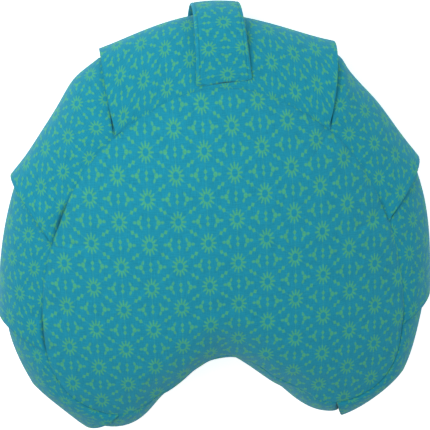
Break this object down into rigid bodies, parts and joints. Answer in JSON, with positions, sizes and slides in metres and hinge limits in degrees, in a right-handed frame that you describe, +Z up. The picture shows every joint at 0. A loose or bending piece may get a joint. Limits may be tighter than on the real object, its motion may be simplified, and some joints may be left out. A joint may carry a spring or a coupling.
{
  "type": "crescent meditation cushion",
  "caption": "Filled crescent floor cushion with a domed top, a pleated side band, a hollow at the front for the heels and a strap handle at the back.",
  "frame": {"origin": "on the flat underside, on the floor, below the middle of the top panel", "axes": "+Z up out of the top panel, +Y towards the back with the strap, -Y towards the hollow, +X to the right"},
  "size_m": [0.4108, 0.4176, 0.147],
  "materials": {
    "cover_cloth": "printed plain-weave cotton, matt",
    "strap_cloth": "printed plain-weave cotton in several layers, matt"
  },
  "bodies": {
    "root": {"cushion_body": "cover_cloth", "strap_handle": "strap_cloth"}
  },
  "joints": []
}
